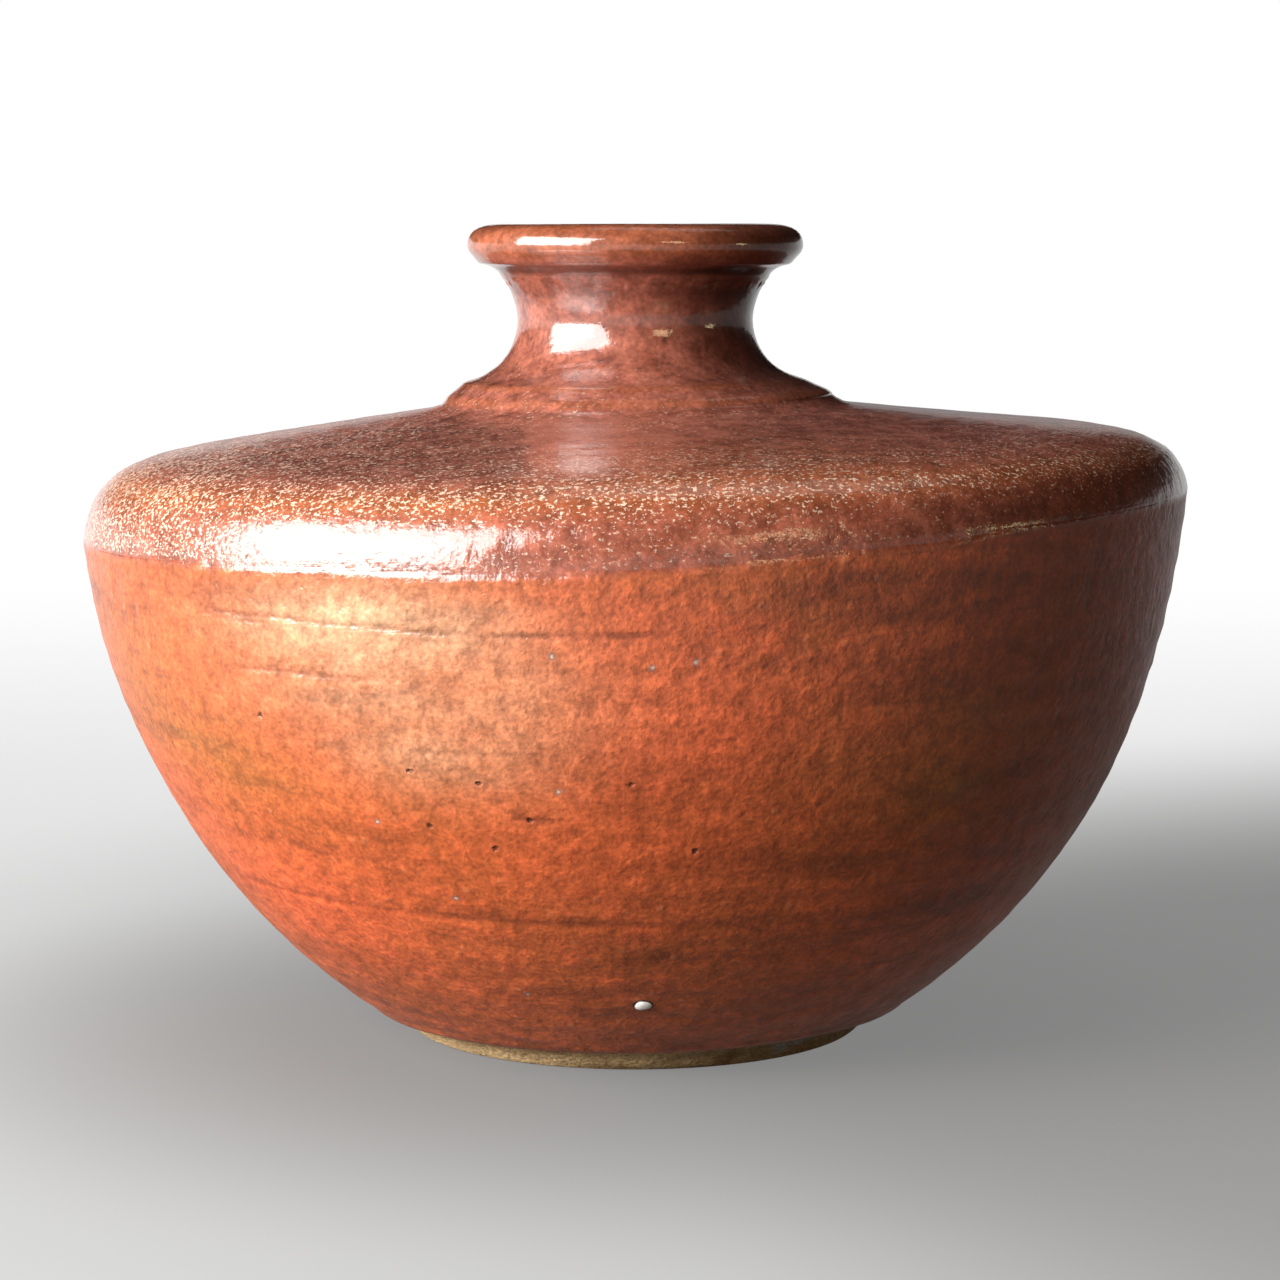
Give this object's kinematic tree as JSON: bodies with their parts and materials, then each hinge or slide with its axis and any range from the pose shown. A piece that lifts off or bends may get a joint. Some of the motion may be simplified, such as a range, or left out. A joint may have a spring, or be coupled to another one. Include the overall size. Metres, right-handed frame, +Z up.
{
  "type": "vase",
  "caption": "Squat glazed stoneware vase with a wide bowl, a low leaning shoulder, a short waisted neck, a rolled lip and a bare clay foot; it holds water and cut stems.",
  "frame": {"origin": "middle of the foot ring's underside, on the table", "axes": "+Z up the axis of the vase; -Y is the front, as pictured; +X is to the right in the picture, the side where the widest ring stands higher"},
  "size_m": [0.24, 0.24, 0.1772],
  "materials": {
    "stoneware_clay": "fired, unglazed, slightly gritty",
    "luting_slip": "fired slip, matt",
    "iron_glaze": "satin to gloss, red-brown, fine orange peel and pits",
    "liner_glaze": "gloss, dark brown"
  },
  "bodies": {
    "root": {"bowl_section": "stoneware_clay", "shoulder_section": "stoneware_clay", "neck_section": "stoneware_clay", "bowl_joint_slip": "luting_slip", "neck_joint_slip": "luting_slip", "outer_glaze": "iron_glaze", "liner_glaze": "liner_glaze"}
  },
  "joints": []
}
